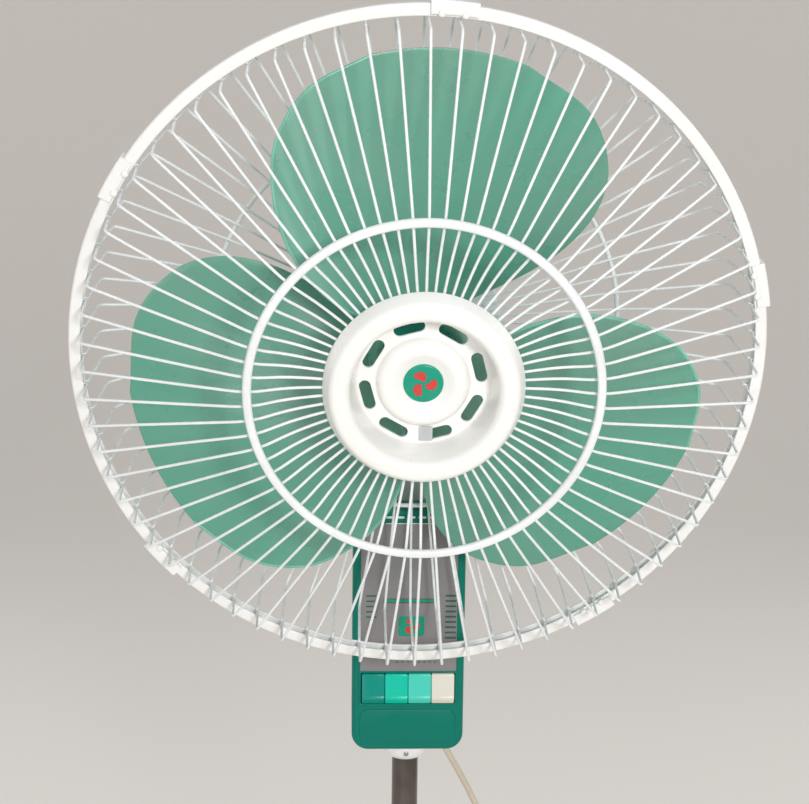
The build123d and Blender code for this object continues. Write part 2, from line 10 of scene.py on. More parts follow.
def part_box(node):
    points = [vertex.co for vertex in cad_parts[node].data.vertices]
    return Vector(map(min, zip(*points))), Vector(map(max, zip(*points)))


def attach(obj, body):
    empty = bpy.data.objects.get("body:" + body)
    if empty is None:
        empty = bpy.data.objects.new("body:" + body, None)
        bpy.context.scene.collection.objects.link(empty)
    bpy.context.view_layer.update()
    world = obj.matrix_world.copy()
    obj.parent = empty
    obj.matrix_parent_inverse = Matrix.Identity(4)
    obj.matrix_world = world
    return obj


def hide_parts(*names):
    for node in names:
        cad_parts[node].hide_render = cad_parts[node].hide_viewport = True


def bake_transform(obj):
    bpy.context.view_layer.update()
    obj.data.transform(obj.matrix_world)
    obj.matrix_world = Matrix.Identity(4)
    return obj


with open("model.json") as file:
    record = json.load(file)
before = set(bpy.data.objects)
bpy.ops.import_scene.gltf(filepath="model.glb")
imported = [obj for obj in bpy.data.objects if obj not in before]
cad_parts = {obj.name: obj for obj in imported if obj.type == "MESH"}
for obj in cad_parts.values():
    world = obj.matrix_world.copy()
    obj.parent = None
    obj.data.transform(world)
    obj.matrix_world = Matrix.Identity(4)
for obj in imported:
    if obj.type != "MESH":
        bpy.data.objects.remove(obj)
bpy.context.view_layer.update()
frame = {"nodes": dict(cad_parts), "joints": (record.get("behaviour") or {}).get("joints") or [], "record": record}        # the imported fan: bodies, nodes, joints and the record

# ---------------------------------------------------------------- studio
# A level floor that sweeps up into a plain wall all round the fan, both of matt card.
# Broad soft boxes in front give the even light, and one smaller lamp gives the gloss its edges.

scene = bpy.context.scene
scene.view_settings.view_transform = "Standard"
scene.view_settings.exposure = 0.0

low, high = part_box("guard_ring")
rim_centre = (low + high) / 2
swivel_up = Vector(next(j["axis"] for j in frame["joints"] if j["name"] == "oscillation")).normalized()
forward = Vector(next(j["axis"] for j in frame["joints"] if j["name"] == "blade_spin")).normalized()

CAMERA_PITCH = radians(8.0)
CAMERA_TURN = radians(2.3)
CAMERA_ROLL = radians(0.7)
CAMERA_AWAY = 0.959
level = cos(CAMERA_PITCH)
look = Vector((sin(CAMERA_TURN) * level, cos(CAMERA_TURN) * level, -sin(CAMERA_PITCH)))
right = look.cross(Vector((0, 0, 1))).normalized()
up = right.cross(look)
turned_right = cos(CAMERA_ROLL) * right + sin(CAMERA_ROLL) * up
turned_up = cos(CAMERA_ROLL) * up - sin(CAMERA_ROLL) * right
eye = rim_centre - 0.0104 * turned_right + 0.0060 * turned_up - CAMERA_AWAY * look
camera_data = bpy.data.cameras.new("studio_camera")
camera_data.sensor_width = 36.0
camera_data.lens = 63.6
camera_data.shift_y = -0.067
camera_data.clip_end = 50.0
camera = bpy.data.objects.new("studio_camera", camera_data)
facing = Matrix((turned_right, turned_up, -look)).transposed().to_4x4()
camera.matrix_world = Matrix.Translation(eye) @ facing
scene.collection.objects.link(camera)
scene.camera = camera

card = bpy.data.materials.new("pale_card")
card.use_nodes = True
card_shader = card.node_tree.nodes["Principled BSDF"]
card_shader.inputs["Base Color"].default_value = (0.72, 0.69, 0.65, 1)
card_shader.inputs["Roughness"].default_value = 0.9
card_shader.inputs["Emission Color"].default_value = (1.0, 0.95, 0.90, 1)
card_shader.inputs["Emission Strength"].default_value = 0.18

BOWL_R, BEND, BOWL_TOP, BOWL_STEPS = 5.5, 2.0, 3.6, 96
sweep = [((BOWL_R - BEND) * k / 5, 0.0) for k in range(1, 5)]
sweep += [(BOWL_R - BEND + BEND * sin(a), BEND - BEND * cos(a)) for a in np.linspace(0.0, pi / 2, 14)]
sweep += [(BOWL_R, BOWL_TOP)]
verts = [(0.0, 0.0, 0.0)]
bowl_turns = [2 * pi * k / BOWL_STEPS for k in range(BOWL_STEPS)]
for r, z in sweep:
    verts += [(r * cos(turn), r * sin(turn), z) for turn in bowl_turns]
faces = [(0, 1 + k, 1 + (k + 1) % BOWL_STEPS) for k in range(BOWL_STEPS)]
for row in range(len(sweep) - 1):
    for k in range(BOWL_STEPS):
        m = (k + 1) % BOWL_STEPS
        a, b = 1 + row * BOWL_STEPS, 1 + (row + 1) * BOWL_STEPS
        faces.append((a + k, b + k, b + m, a + m))
floor_mesh = bpy.data.meshes.new("studio_floor")
floor_mesh.from_pydata(verts, [], faces)
floor_mesh.polygons.foreach_set("use_smooth", [True] * len(faces))
floor_mesh.materials.append(card)
studio_floor = bpy.data.objects.new("studio_floor", floor_mesh)
scene.collection.objects.link(studio_floor)


def soft_box(name, place, size, watts, tint=(1, 1, 1)):
    """A square lamp at place, turned to face the head."""
    data = bpy.data.lights.new(name, "AREA")
    data.shape = "RECTANGLE"
    data.size, data.size_y = size
    data.energy = watts
    data.color = tint
    lamp = bpy.data.objects.new(name, data)
    place = Vector(place)
    aim = (Vector((0, -0.1, 0.95)) - place).to_track_quat("-Z", "Y")
    lamp.matrix_world = Matrix.Translation(place) @ aim.to_matrix().to_4x4()
    scene.collection.objects.link(lamp)


soft_box("key_box", (0.40, -1.8, 1.45), (0.30, 0.30), 18)
soft_box("front_box", (-0.8, -2.2, 1.3), (1.0, 1.6), 8)
soft_box("top_box", (0.0, -0.4, 3.2), (2.4, 2.4), 18)
soft_box("back_box_left", (-2.4, 1.4, 1.8), (1.2, 1.8), 16)
soft_box("back_box_right", (2.4, 1.4, 1.8), (1.2, 1.8), 16)
world = bpy.data.worlds.new("studio_air")
world.use_nodes = True
world.node_tree.nodes["Background"].inputs["Color"].default_value = (0.93, 0.96, 1.0, 1)
world.node_tree.nodes["Background"].inputs["Strength"].default_value = 0.25
scene.world = world

# ---------------------------------------------------------------- mains cord
# Round two-core flex in a cream PVC sheath, 5 mm across and 1.65 m long.
# It leaves the box through a moulded relief, drops behind the base and lies in a tied coil.

CORD_WIDTH = 0.005
CORD_ROUTE = [
    (0.030, -0.006, 0.716), (0.0563, 0.002, 0.6684), (0.077, 0.009, 0.611), (0.091, 0.017, 0.550),
    (0.102, 0.026, 0.488), (0.111, 0.036, 0.425), (0.121, 0.048, 0.362), (0.132, 0.061, 0.300),
    (0.145, 0.077, 0.240), (0.160, 0.098, 0.183), (0.177, 0.125, 0.131), (0.195, 0.159, 0.086),
    (0.211, 0.200, 0.048), (0.221, 0.246, 0.019), (0.224, 0.294, 0.0026), (0.213, 0.336, 0.0026),
    (0.186, 0.3605, 0.0026),
]
COIL_MIDDLE = Vector((0.170, 0.332, 0.0))
# where the turns lie, at chosen angles: outer and inner below, inner above, over the top, outer above
COIL_ANGLE = [100, 440, 480, 800, 840, 1160, 1195, 1245, 1290, 1590, 1612]
COIL_REACH = [31.2, 31.2, 25.8, 25.8, 25.8, 25.8, 28.4, 28.4, 31.2, 31.2, 31.0]
COIL_LIFT = [2.6, 2.6, 2.6, 2.6, 7.8, 7.8, 12.4, 12.4, 7.8, 7.8, 8.8]
coil_points = []
for angle in range(105, 1600, 30):
    reach = 0.001 * float(np.interp(angle, COIL_ANGLE, COIL_REACH))
    lift = 0.001 * float(np.interp(angle, COIL_ANGLE, COIL_LIFT))
    turn = radians(angle)
    coil_points.append(tuple(COIL_MIDDLE + Vector((reach * cos(turn), reach * sin(turn), lift))))
PLUG_AT = Vector((0.140, 0.329, 0.010))
coil_points += [(0.1395, 0.341, 0.0088), (0.140, 0.334, 0.0098), tuple(PLUG_AT)]


def spline_line(name, points, steps):
    """The line of a smooth spline through these control points, as a list of vectors."""
    data = bpy.data.curves.new(name, "CURVE")
    data.dimensions = "3D"
    line = data.splines.new("NURBS")
    line.points.add(len(points) - 1)
    for point, at in zip(line.points, points):
        point.co = (*at, 1.0)
    line.order_u = 3
    line.use_endpoint_u = True
    line.resolution_u = steps
    holder = bpy.data.objects.new(name, data)
    scene.collection.objects.link(holder)
    bpy.context.view_layer.update()
    mesh = bpy.data.meshes.new_from_object(holder)
    found = [v.co.copy() for v in mesh.vertices]
    bpy.data.objects.remove(holder)
    bpy.data.meshes.remove(mesh)
    return found


def tube(line, radius, sides, closed=False, ends=True):
    """Vertices and faces of a round tube along a line, carried along without twist."""
    line = [Vector(p) for p in line]
    count = len(line)
    tangents = []
    for i in range(count):
        before = line[i - 1] if closed or i else line[0]
        after = line[(i + 1) % count] if closed or i < count - 1 else line[-1]
        tangents.append((after - before).normalized())
    side = tangents[0].orthogonal().normalized()
    verts, faces = [], []
    for i, tangent in enumerate(tangents):
        side = (side - tangent * side.dot(tangent)).normalized()
        across = tangent.cross(side)
        for k in range(sides):
            turn = 2 * pi * k / sides
            verts.append(line[i] + radius * (cos(turn) * side + sin(turn) * across))
    for i in range(count if closed else count - 1):
        j = (i + 1) % count
        for k in range(sides):
            m = (k + 1) % sides
            faces.append((i * sides + k, i * sides + m, j * sides + m, j * sides + k))
    if ends and not closed:
        faces.append(tuple(reversed(range(sides))))
        faces.append(tuple((count - 1) * sides + k for k in range(sides)))
    return verts, faces


def make_piece(name, verts, faces, finish, place=None, sharp=38.0):
    """A new piece in the fan's frame from plain vertices and faces, with its faces turned outwards."""
    mesh = bpy.data.meshes.new(name)
    mesh.from_pydata([tuple(v) for v in verts], [], faces)
    if place is not None:
        mesh.transform(place)
    work = bmesh.new()
    work.from_mesh(mesh)
    bmesh.ops.remove_doubles(work, verts=work.verts, dist=1e-7)
    bmesh.ops.recalc_face_normals(work, faces=work.faces)
    work.to_mesh(mesh)
    work.free()
    mesh.polygons.foreach_set("use_smooth", [True] * len(mesh.polygons))
    mesh.set_sharp_from_angle(angle=radians(sharp))
    mesh.materials.append(finish)
    piece = bpy.data.objects.new(name, mesh)
    scene.collection.objects.link(piece)
    return piece


def moulded(name, colour, worn, rough=0.32, grain=0.06, grain_size=900.0, patches=9.0, dust=0.0, **sockets):
    """Moulded or painted finish: slow patches of two colours, fine grain, dust on what faces up."""
    finish = bpy.data.materials.new(name)
    finish.use_nodes = True
    nodes, links = finish.node_tree.nodes, finish.node_tree.links
    shader = nodes["Principled BSDF"]
    place = nodes.new("ShaderNodeTexCoord")
    slow = nodes.new("ShaderNodeTexNoise")
    slow.inputs["Scale"].default_value = patches
    slow.inputs["Detail"].default_value = 5.0
    slow.inputs["Roughness"].default_value = 0.62
    links.new(place.outputs["Object"], slow.inputs["Vector"])
    colours = nodes.new("ShaderNodeValToRGB")
    colours.color_ramp.elements[0].position = 0.28
    colours.color_ramp.elements[0].color = (*worn, 1)
    colours.color_ramp.elements[1].position = 0.68
    colours.color_ramp.elements[1].color = (*colour, 1)
    links.new(slow.outputs["Fac"], colours.inputs["Fac"])
    top_colour = colours.outputs["Color"]
    fine = nodes.new("ShaderNodeTexNoise")
    fine.inputs["Scale"].default_value = grain_size
    fine.inputs["Detail"].default_value = 3.0
    links.new(place.outputs["Object"], fine.inputs["Vector"])
    bump = nodes.new("ShaderNodeBump")
    bump.inputs["Strength"].default_value = grain
    bump.inputs["Distance"].default_value = 0.0004
    links.new(fine.outputs["Fac"], bump.inputs["Height"])
    links.new(bump.outputs["Normal"], shader.inputs["Normal"])
    smears = nodes.new("ShaderNodeTexNoise")
    smears.inputs["Scale"].default_value = patches * 5
    smears.inputs["Detail"].default_value = 6.0
    links.new(place.outputs["Object"], smears.inputs["Vector"])
    gloss = nodes.new("ShaderNodeMapRange")
    gloss.inputs["From Min"].default_value = 0.3
    gloss.inputs["From Max"].default_value = 0.7
    gloss.inputs["To Min"].default_value = max(rough - 0.07, 0.02)
    gloss.inputs["To Max"].default_value = rough + 0.10
    links.new(smears.outputs["Fac"], gloss.inputs["Value"])
    links.new(gloss.outputs["Result"], shader.inputs["Roughness"])
    if dust:
        facing = nodes.new("ShaderNodeNewGeometry")
        split = nodes.new("ShaderNodeSeparateXYZ")
        links.new(facing.outputs["Normal"], split.inputs["Vector"])
        settled = nodes.new("ShaderNodeMapRange")
        settled.inputs["From Min"].default_value = 0.25
        settled.inputs["From Max"].default_value = 1.0
        settled.inputs["To Max"].default_value = dust
        links.new(split.outputs["Z"], settled.inputs["Value"])
        uneven = nodes.new("ShaderNodeMath")
        uneven.operation = "MULTIPLY"
        links.new(settled.outputs["Result"], uneven.inputs[0])
        links.new(smears.outputs["Fac"], uneven.inputs[1])
        mix = nodes.new("ShaderNodeMix")
        mix.data_type = "RGBA"
        mix.inputs[7].default_value = (0.42, 0.39, 0.35, 1)
        links.new(uneven.outputs["Value"], mix.inputs[0])
        links.new(top_colour, mix.inputs[6])
        top_colour = mix.outputs[2]
    links.new(top_colour, shader.inputs["Base Color"])
    for socket, value in sockets.items():
        shader.inputs[socket.replace("_", " ")].default_value = value
    return finish


cord_sheath = moulded("cord_sheath", (0.60, 0.54, 0.44), (0.50, 0.43, 0.33), rough=0.42, grain=0.10,
                      patches=30)
cord_line = spline_line("mains_flex_line", CORD_ROUTE + coil_points, 10)
mains_flex = make_piece("mains_flex", *tube(cord_line, CORD_WIDTH / 2, 16), cord_sheath)


def turned(profile, steps=96, arc=None):
    """Vertices and faces of a (radius, height) profile turned about Z; a point at radius 0 closes it.
    With arc, (start, end) in degrees, the profile is a closed outline and both ends are capped."""
    verts, faces, rows = [], [], []
    turns = [2 * pi * k / steps for k in range(steps)]
    if arc:
        turns = [radians(arc[0] + (arc[1] - arc[0]) * k / steps) for k in range(steps + 1)]
    for radius, height in profile:
        if radius < 1e-9:
            rows.append([len(verts)])
            verts.append((0.0, 0.0, height))
        else:
            rows.append(list(range(len(verts), len(verts) + len(turns))))
            verts += [(radius * cos(t), radius * sin(t), height) for t in turns]
    pairs = list(zip(rows, rows[1:]))
    if profile[0][0] > 1e-9:
        pairs.append((rows[-1], rows[0]))
    for a, b in pairs:
        for k in range(len(turns) - 1 if arc else steps):
            m = (k + 1) % len(turns)
            if len(a) == 1 and len(b) == 1:
                continue
            if len(a) == 1:
                faces.append((a[0], b[m], b[k]))
            elif len(b) == 1:
                faces.append((a[k], a[m], b[0]))
            else:
                faces.append((a[k], a[m], b[m], b[k]))
    if arc:
        faces.append(tuple(row[0] for row in rows))
        faces.append(tuple(row[-1] for row in reversed(rows)))
    return verts, faces


def rounded(profile, size, steps=4, closed=None):
    """The same outline with each corner rounded off by up to size."""
    if closed is None:
        closed = profile[0][0] > 1e-9
    points = [Vector((*p, 0)) for p in profile]
    count, out = len(points), []
    for i, at in enumerate(points):
        if not closed and i in (0, count - 1):
            out.append((at.x, at.y))
            continue
        before, after = points[i - 1], points[(i + 1) % count]
        reach = min(size, 0.45 * (before - at).length, 0.45 * (after - at).length)
        start = at + (before - at).normalized() * reach
        end = at + (after - at).normalized() * reach
        for k in range(steps + 1):
            t = k / steps
            point = (1 - t) ** 2 * start + 2 * t * (1 - t) * at + t * t * end
            out.append((point.x, point.y))
    return out


MM = Matrix.Scale(0.001, 4)
exit_lean = (cord_line[1] - cord_line[0]).normalized()
relief_profile = [(0, -18.5), (4.5, -18.5), (4.5, -18), (3.7, -16)]
for i in range(5):
    top = -15.5 + 3 * i
    reach = 3.75 - 0.18 * i
    groove = reach - 0.75
    relief_profile += [(reach, top), (reach, top + 1.6), (groove, top + 1.9), (groove, top + 2.7)]
relief_profile += [(2.9, -0.3), (2.6, 0.6), (0, 0.6)]
exit_place = Matrix.Translation(cord_line[0]) @ exit_lean.to_track_quat("Z", "Y").to_matrix().to_4x4() @ MM
relief_shape = turned(rounded(relief_profile, 0.25, 2), 32)
cord_relief = make_piece("cord_relief", *relief_shape, cord_sheath, exit_place)

# the tie is a flat strip wrapped once round the bundle of turns
tie_finish = moulded("tie_strip", (0.045, 0.045, 0.045), (0.03, 0.03, 0.03), rough=0.5, grain=0.2)
TIE_AT = radians(250)
TIE_WIDE, TIE_THICK, TIE_STEPS = 0.005, 0.0006, 40
tie_middle = COIL_MIDDLE + Vector((0.0275 * cos(TIE_AT), 0.0275 * sin(TIE_AT), 0.0052))
outwards = Vector((cos(TIE_AT), sin(TIE_AT), 0))
tie_line = []
for k in range(TIE_STEPS):
    turn = 2 * pi * k / TIE_STEPS
    reach_out = 0.0062 * abs(cos(turn)) ** 0.55 * (1 if cos(turn) > 0 else -1)
    reach_up = 0.0056 * abs(sin(turn)) ** 0.55 * (1 if sin(turn) > 0 else -1)
    tie_line.append(tie_middle + outwards * reach_out + Vector((0, 0, max(reach_up, -0.0049))))
along = Vector((-sin(TIE_AT), cos(TIE_AT), 0))
verts, faces = [], []
for point in tie_line:
    inward = (tie_middle - point).normalized() * TIE_THICK
    near, far = point - along * TIE_WIDE / 2, point + along * TIE_WIDE / 2
    verts += [near, far, far + inward, near + inward]
for i in range(TIE_STEPS):
    j = (i + 1) % TIE_STEPS
    for k in range(4):
        m = (k + 1) % 4
        faces.append((4 * i + k, 4 * i + m, 4 * j + m, 4 * j + k))
coil_tie = make_piece("coil_tie", verts, faces, tie_finish)

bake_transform(mains_flex)
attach(cord_relief, "mast")
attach(coil_tie, "base")
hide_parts("mains_cord", "cord_coil")
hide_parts("strain_relief")

# ---------------------------------------------------------------- finishes of the CAD parts
# Injection-moulded shells in two colours, dipped wire, plated and painted tube, cast and turned metal.
# Each CAD part that stays takes the finish of its record slot; the pieces made below share them.

teal_plastic = moulded("teal_plastic", (0.001, 0.190, 0.140), (0.001, 0.160, 0.118), rough=0.34,
                       dust=0.12,
                       Specular_IOR_Level=0.18)
white_plastic = moulded("white_plastic", (0.85, 0.85, 0.845), (0.79, 0.785, 0.765), rough=0.33, dust=0.1,
                        Coat_Weight=0.2, Coat_Roughness=0.2)
cream_plastic = moulded("cream_plastic", (0.86, 0.86, 0.84), (0.81, 0.805, 0.775), rough=0.32, dust=0.06,
                        Coat_Weight=0.2, Coat_Roughness=0.2)
collar_plastic = moulded("collar_plastic", (0.84, 0.84, 0.84), (0.78, 0.78, 0.78), rough=0.28,
                         Subsurface_Weight=0.3,
                         Subsurface_Scale=0.004)
wire_coat = moulded("wire_coat", (0.84, 0.87, 0.88), (0.72, 0.74, 0.75), rough=0.28, grain=0.12,
                    grain_size=500,
                    patches=25, dust=0.25)
blade_plastic = moulded("blade_plastic", (0.085, 0.36, 0.26), (0.15, 0.33, 0.25), rough=0.30, grain=0.04,
                        patches=6, Subsurface_Weight=0.25, Subsurface_Scale=0.01, Coat_Weight=0.3)
panel_film = moulded("panel_film", (0.235, 0.225, 0.230), (0.195, 0.188, 0.192), rough=0.42, grain=0.1,
                     grain_size=2500)
# The chrome's base colour is made dark and brownish as painted reflection: it stands in for the dark
# surroundings that the plated tube reflects.
tube_chrome_painted_reflection = moulded("tube_chrome_painted_reflection", (0.17, 0.15, 0.14), (0.12, 0.105, 0.095), rough=0.12, grain=0.02,
                      patches=40,
                      Metallic=1.0)
tube_paint = moulded("tube_paint", (0.004, 0.19, 0.135), (0.003, 0.16, 0.11), rough=0.35, grain=0.15)
plated_steel = moulded("plated_steel", (0.50, 0.50, 0.50), (0.38, 0.37, 0.35), rough=0.28, patches=60,
                       Metallic=1.0)
cast_alloy = moulded("cast_alloy", (0.52, 0.52, 0.52), (0.40, 0.40, 0.40), rough=0.55, grain=0.5,
                     Metallic=0.9)
neck_paint = moulded("neck_paint", (0.62, 0.63, 0.62), (0.52, 0.52, 0.51), rough=0.38, grain=0.3,
                     dust=0.3)
varnished_iron = moulded("varnished_iron", (0.02, 0.02, 0.02), (0.035, 0.03, 0.025), rough=0.5,
                         grain=0.6)
core_steel = moulded("core_steel", (0.16, 0.165, 0.18), (0.11, 0.11, 0.12), rough=0.4, Metallic=0.9)
wound_copper = moulded("wound_copper", (0.42, 0.13, 0.05), (0.30, 0.09, 0.035), rough=0.3, grain=0.7,
                       Metallic=0.8)
oiled_bronze = moulded("oiled_bronze", (0.42, 0.25, 0.10), (0.30, 0.17, 0.07), rough=0.4, Metallic=0.9)
nylon = moulded("nylon", (0.68, 0.65, 0.56), (0.60, 0.57, 0.48), rough=0.45)
black_plastic = moulded("black_plastic", (0.022, 0.022, 0.022), (0.03, 0.03, 0.028), rough=0.42,
                        grain=0.3)
black_rubber = moulded("black_rubber", (0.02, 0.02, 0.02), (0.03, 0.029, 0.027), rough=0.75, grain=0.5)
key_dark = moulded("key_dark", (0.001, 0.270, 0.215), (0.001, 0.250, 0.198), rough=0.22,
                   Specular_IOR_Level=0.3)
key_turquoise = moulded("key_turquoise", (0.001, 0.540, 0.390), (0.001, 0.500, 0.360), rough=0.22,
                        Specular_IOR_Level=0.3)
key_aqua = moulded("key_aqua", (0.07, 0.62, 0.50), (0.06, 0.58, 0.46), rough=0.22,
                   Specular_IOR_Level=0.3)
key_cream = moulded("key_cream", (0.72, 0.70, 0.62), (0.67, 0.65, 0.57), rough=0.22,
                    Specular_IOR_Level=0.3)
badge_green = moulded("badge_green", (0.012, 0.31, 0.20), (0.008, 0.27, 0.17), rough=0.2,
                      Specular_IOR_Level=0.3)
clear_tab = moulded("clear_tab", (0.88, 0.90, 0.91), (0.80, 0.83, 0.84), rough=0.15,
                    Transmission_Weight=0.5)

slot_finish = {
    "teal_box": teal_plastic, "teal_blade": blade_plastic, "white_plastic": white_plastic,
    "cream_plastic": cream_plastic, "clear_white": collar_plastic, "white_wire": wire_coat,
    "panel_silver": panel_film, "key_dark": key_dark, "key_turquoise": key_turquoise, "key_aqua": key_aqua,
    "key_cream": key_cream, "emblem_green": badge_green, "smoke_tab": clear_tab, "chrome_tube": tube_chrome_painted_reflection,
    "tube_paint": tube_paint, "steel": plated_steel, "cast_metal": cast_alloy, "neck_paint": neck_paint,
    "iron": varnished_iron, "laminations": core_steel, "copper": wound_copper, "bronze": oiled_bronze,
    "nylon": nylon, "black_plastic": black_plastic, "rubber": black_rubber, "cord_cream": cord_sheath,
}
for part in frame["record"]["subparts"]:
    node = frame["nodes"].get(part["node"])
    if node is not None:
        node.data.materials.clear()
        node.data.materials.append(slot_finish[part["material_slot"]])

# ---------------------------------------------------------------- guard wires
# Each guard has 72 steel wires, 2.3 mm thick, bent to shape and dipped in white PVC.
# They are spot-welded to an edge ring at the band and to rings on the face.

fan_axes = Matrix((Vector((1, 0, 0)), swivel_up, forward)).transposed().to_4x4()
FAN_MM = Matrix.Translation(rim_centre) @ fan_axes @ MM
WIRES = 72
WIRE_R = 0.95
FRONT_WIRE = [(228.6, 1.5), (223, 1.5), (221, 31), (111, 67), (89, 58.5), (70, 56.5), (50, 56.5)]
FRONT_BENDS = [2.5, 4, 12, 22, 30]
REAR_WIRE = [(228.6, -1.5), (223, -1.5), (221, -48), (145, -67), (62, -72.2), (50, -72.2)]
REAR_BENDS = [2.5, 5, 20, 20]


def bent(corners, bends, steps=5):
    """A wire's line: straight runs joined by round bends of the given reach at each corner."""
    line = [Vector((corners[0][0], 0, corners[0][1]))]
    for before, at, after, reach in zip(corners, corners[1:], corners[2:], bends):
        before, at, after = (Vector((r, 0, s)) for r, s in (before, at, after))
        start = at + (before - at).normalized() * min(reach, 0.48 * (before - at).length)
        end = at + (after - at).normalized() * min(reach, 0.48 * (after - at).length)
        for k in range(steps + 1):
            t = k / steps
            line.append((1 - t) ** 2 * start + 2 * t * (1 - t) * at + t * t * end)
    line.append(Vector((corners[-1][0], 0, corners[-1][1])))
    return line


def copies_tree():
    """A node tree that sets copies of its mesh round Z, as many and as far round as asked."""
    tree = bpy.data.node_groups.new("copies_round_axis", "GeometryNodeTree")
    face = tree.interface
    face.new_socket("Piece", in_out="INPUT", socket_type="NodeSocketGeometry")
    count = face.new_socket("Count", in_out="INPUT", socket_type="NodeSocketInt")
    first = face.new_socket("First Angle", in_out="INPUT", socket_type="NodeSocketFloat")
    step = face.new_socket("Angle Step", in_out="INPUT", socket_type="NodeSocketFloat")
    finish = face.new_socket("Finish", in_out="INPUT", socket_type="NodeSocketMaterial")
    face.new_socket("Pieces", in_out="OUTPUT", socket_type="NodeSocketGeometry")
    nodes, links = tree.nodes, tree.links
    given = nodes.new("NodeGroupInput")
    result = nodes.new("NodeGroupOutput")
    line = nodes.new("GeometryNodeMeshLine")
    line.inputs["Offset"].default_value = (0, 0, 0)
    links.new(given.outputs["Count"], line.inputs["Count"])
    number = nodes.new("GeometryNodeInputIndex")
    turn = nodes.new("ShaderNodeMath")
    turn.operation = "MULTIPLY_ADD"
    links.new(number.outputs[0], turn.inputs[0])
    links.new(given.outputs["Angle Step"], turn.inputs[1])
    links.new(given.outputs["First Angle"], turn.inputs[2])
    about = nodes.new("ShaderNodeCombineXYZ")
    links.new(turn.outputs[0], about.inputs["Z"])
    place = nodes.new("GeometryNodeInstanceOnPoints")
    links.new(line.outputs[0], place.inputs["Points"])
    links.new(given.outputs["Piece"], place.inputs["Instance"])
    links.new(about.outputs[0], place.inputs["Rotation"])
    real = nodes.new("GeometryNodeRealizeInstances")
    links.new(place.outputs[0], real.inputs[0])
    paint = nodes.new("GeometryNodeSetMaterial")
    links.new(real.outputs[0], paint.inputs["Geometry"])
    links.new(given.outputs["Finish"], paint.inputs["Material"])
    links.new(paint.outputs[0], result.inputs[0])
    asked = {"count": count, "first": first, "step": step, "finish": finish}
    return tree, {name: socket.identifier for name, socket in asked.items()}


round_axis, round_axis_keys = copies_tree()


def plain_mesh(holder, name):
    """The holder's finished shape as an ordinary mesh piece; the holder is removed."""
    bpy.context.view_layer.update()
    seen = holder.evaluated_get(bpy.context.evaluated_depsgraph_get())
    mesh = bpy.data.meshes.new_from_object(seen)
    mesh.name = name
    bpy.data.objects.remove(holder)
    piece = bpy.data.objects.new(name, mesh)
    scene.collection.objects.link(piece)
    return piece


def set_round(name, verts, faces, finish, count, first=0.0, step=None, place=FAN_MM, sharp=38.0):
    """Copies of one small shape set round an axis, as one mesh."""
    holder = make_piece(name + "_one", verts, faces, finish, sharp=sharp)
    modifier = holder.modifiers.new("round", "NODES")
    modifier.node_group = round_axis
    modifier[round_axis_keys["count"]] = count
    modifier[round_axis_keys["first"]] = radians(first)
    modifier[round_axis_keys["step"]] = radians(360 / count if step is None else step)
    modifier[round_axis_keys["finish"]] = finish
    piece = plain_mesh(holder, name)
    piece.data.transform(place)
    return piece


def ride_as(piece, body, slot, *nodes):
    """The piece moves with a body and stands for those CAD nodes. The slot is not used."""
    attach(piece, body)
    if nodes:
        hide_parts(*nodes)
    return piece


front_wires = set_round("front_wires", *tube(bent(FRONT_WIRE, FRONT_BENDS), WIRE_R, 10), wire_coat, WIRES)
rear_wires = set_round("rear_wires", *tube(bent(REAR_WIRE, REAR_BENDS), WIRE_R, 10), wire_coat, WIRES)
ride_as(front_wires, "head", "white_wire", "front_guard_wires")
ride_as(rear_wires, "head", "white_wire", "rear_guard_wires")

# ---------------------------------------------------------------- guard rings
# Round wire rings hold the wires: one at each edge, one hidden behind the hub plate, one half way
# across the rear guard. The face ring is a wider rolled strip, and a pressed plate closes the rear.


def circle(radius, height, count=180):
    turns = [2 * pi * k / count for k in range(count)]
    return [(radius * cos(turn), radius * sin(turn), height) for turn in turns]


def joined(name, shapes, finish, place=FAN_MM, sharp=38.0):
    """Several closed shapes as one piece."""
    verts, faces = [], []
    for some_verts, some_faces in shapes:
        base = len(verts)
        verts += list(some_verts)
        faces += [tuple(base + i for i in face) for face in some_faces]
    return make_piece(name, verts, faces, finish, place, sharp)


BAND = [(108.5, 68.2), (113.9, 67.7), (114.3, 69.2), (113.5, 71.4), (109.5, 71.9), (108.3, 70.4)]
front_rings = joined("front_rings", [
    tube(circle(229.4, 1.5), 1.5, 10, closed=True), turned(rounded(BAND, 1.2), 180),
    tube(circle(54.0, 53.9, 96), 1.5, 8, closed=True)], wire_coat)
PLATE = [(20.8, -75), (60, -75), (60.6, -74.4), (60, -73.4), (20.8, -73.4)]
rear_rings = joined("rear_rings", [
    tube(circle(229.4, -1.5), 1.5, 10, closed=True), tube(circle(145.0, -69.6), 1.6, 10, closed=True),
    turned(rounded(PLATE, 0.3, 2), 96)], wire_coat)
ride_as(front_rings, "head", "white_wire", "front_guard_rings")
ride_as(rear_rings, "head", "white_wire", "rear_guard_rings")
